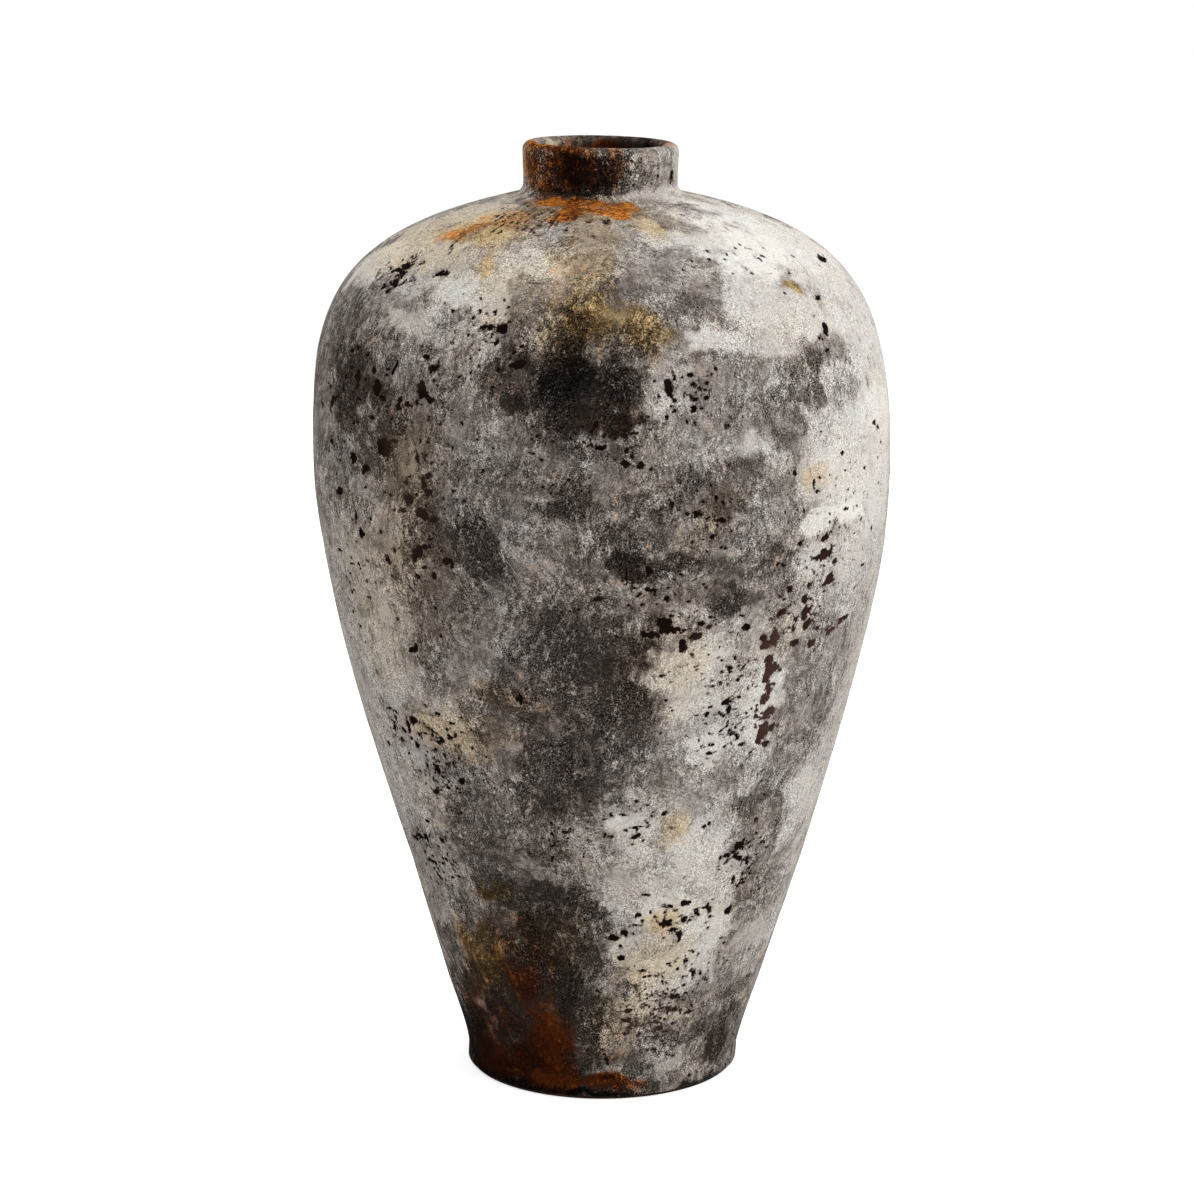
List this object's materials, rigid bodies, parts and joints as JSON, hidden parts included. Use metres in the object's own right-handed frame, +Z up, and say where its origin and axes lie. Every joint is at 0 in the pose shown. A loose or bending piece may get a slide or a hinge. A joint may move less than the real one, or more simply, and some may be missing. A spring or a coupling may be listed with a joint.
{
  "type": "decorative floor jar",
  "caption": "Tall hand-built clay floor jar with a high shoulder, a tapering body, a short narrow neck and a rounded lip, coated in a worn grey mineral finish; it stands on a flat foot.",
  "frame": {"origin": "centre of the foot's flat underside, on the surface that the jar stands on", "axes": "+Z up along the jar's axis of revolution, through the middle of the mouth; +X to the right and -Y to the front in the pictured view"},
  "size_m": [0.4879, 0.488, 0.8],
  "materials": {
    "clay": "bare fired clay, matt and slightly rough",
    "slip": "bare fired slip, matt",
    "undercoat": "matt near-black undercoat",
    "mineral_coat": "matt grey mineral coat, worn through in patches to the dark undercoat and the clay"
  },
  "bodies": {
    "root": {"foot_slab": "clay", "foot_seam": "slip", "lower_wall": "clay", "lower_seam": "slip", "belly_wall": "clay", "belly_seam": "slip", "upper_wall": "clay", "upper_seam": "slip", "shoulder_wall": "clay", "neck_seam": "slip", "neck_collar": "clay", "dark_undercoat": "undercoat", "mineral_coat": "mineral_coat"}
  },
  "joints": []
}
